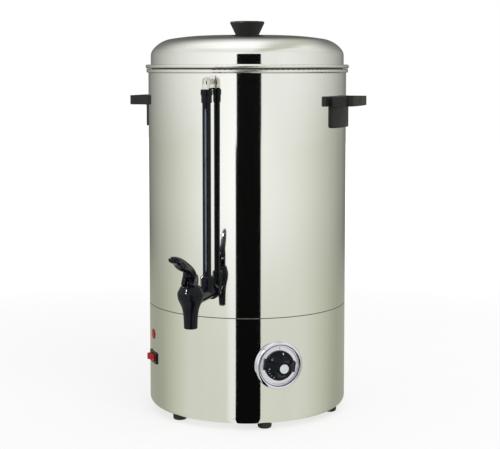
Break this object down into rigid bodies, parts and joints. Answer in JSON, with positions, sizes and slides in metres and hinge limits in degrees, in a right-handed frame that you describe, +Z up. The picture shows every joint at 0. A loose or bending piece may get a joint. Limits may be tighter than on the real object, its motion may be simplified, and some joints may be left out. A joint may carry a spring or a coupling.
{
  "type": "hot water urn",
  "caption": "Round hot water urn with a domed lift-off lid, side handles, a lever tap under a sight gauge, a temperature dial, a rocker switch and a lamp on the base.",
  "frame": {"origin": "on the axis of the tank, in the plane of the feet", "axes": "+Z up, the tap and the sight gauge look towards -Y, the two handles stand at -X and +X"},
  "size_m": [0.321, 0.4204, 0.5309],
  "materials": {
    "steel_body": "polished",
    "steel_inner": "satin",
    "fasteners": "plain",
    "chrome_trim": "polished",
    "feet_rubber": "matt",
    "seal_silicone": "matt",
    "tap_plastic": "gloss",
    "handle_plastic": "satin",
    "dial_cap": "satin",
    "gauge_glass": "clear",
    "switch_black": "satin",
    "switch_red": "gloss",
    "heater_aluminium": "as cast",
    "heater_sheath": "dull",
    "block_white": "plain"
  },
  "bodies": {
    "urn": {"base_skirt": "steel_body", "tank_shell": "steel_body", "tank_floor": "steel_inner", "base_plate": "steel_inner", "foot_screws": "fasteners", "foot_nuts": "fasteners", "handle_screws": "fasteners", "thermostat_screws": "fasteners", "strap_rivet": "fasteners", "tie_studs": "fasteners", "tie_nuts": "fasteners", "shank_locknut": "fasteners", "thermal_cutoff": "fasteners", "thermostat_bulb": "fasteners", "thermostat_bezel": "chrome_trim", "gauge_strap": "chrome_trim", "gauge_dome_nut": "chrome_trim", "rubber_feet": "feet_rubber", "seam_gasket": "feet_rubber", "shank_gaskets": "seal_silicone", "gauge_seal": "seal_silicone", "faucet_shank": "tap_plastic", "faucet_body": "tap_plastic", "faucet_bonnet": "tap_plastic", "gauge_nut": "tap_plastic", "gauge_guard": "tap_plastic", "gauge_cap": "tap_plastic", "handle_right": "handle_plastic", "handle_left": "handle_plastic", "gauge_glass": "gauge_glass", "switch_housing": "switch_black", "cord_gland": "switch_black", "gland_nut": "switch_black", "lamp_clip": "switch_black", "thermostat_body": "switch_black", "lamp_lens": "switch_red", "heat_plate": "heater_aluminium", "heating_element": "heater_sheath", "terminal_block": "block_white"},
    "lid": {"lid_dome": "steel_body", "lid_ring": "steel_inner", "lid_knob": "handle_plastic", "lid_knob_washer": "fasteners", "lid_knob_screw": "fasteners"},
    "valve": {"valve_stem": "tap_plastic", "seat_cup": "seal_silicone", "lever_pin": "fasteners", "valve_spring": "fasteners"},
    "lever": {"faucet_lever": "tap_plastic"},
    "dial": {"dial_knob": "handle_plastic", "dial_disc": "dial_cap", "thermostat_shaft": "fasteners"},
    "rocker": {"switch_rocker": "switch_red"}
  },
  "joints": [
    {"name": "lid_lift", "type": "slide", "parent": "urn", "child": "lid", "axis": [0, 0, 1], "range_m": [0, 0.2]},
    {"name": "valve_lift", "type": "slide", "parent": "urn", "child": "valve", "axis": [0, 0, 1], "range_m": [0, 0.0031], "deforming": ["valve_spring"]},
    {"name": "lever_pull", "type": "hinge", "parent": "valve", "child": "lever", "pos_m": [0, -0.213, 0.2096], "axis": [1, 0, 0], "range_deg": [0, 35], "stiffness_Nm_per_rad": 0.025, "springref_deg": -45.84},
    {"name": "thermostat_turn", "type": "hinge", "parent": "urn", "child": "dial", "pos_m": [0.0803, -0.10852, 0.0855], "axis": [-0.5948, 0.8039, 0], "range_deg": [0, 270]},
    {"name": "switch_rock", "type": "hinge", "parent": "urn", "child": "rocker", "pos_m": [-0.10316, -0.08235, 0.0768], "axis": [0, 0, 1], "range_deg": [-26, 0]}
  ],
  "couplings": [
    {"joint": "valve_lift", "follows": "lever_pull", "m_per_rad": 0.005}
  ]
}
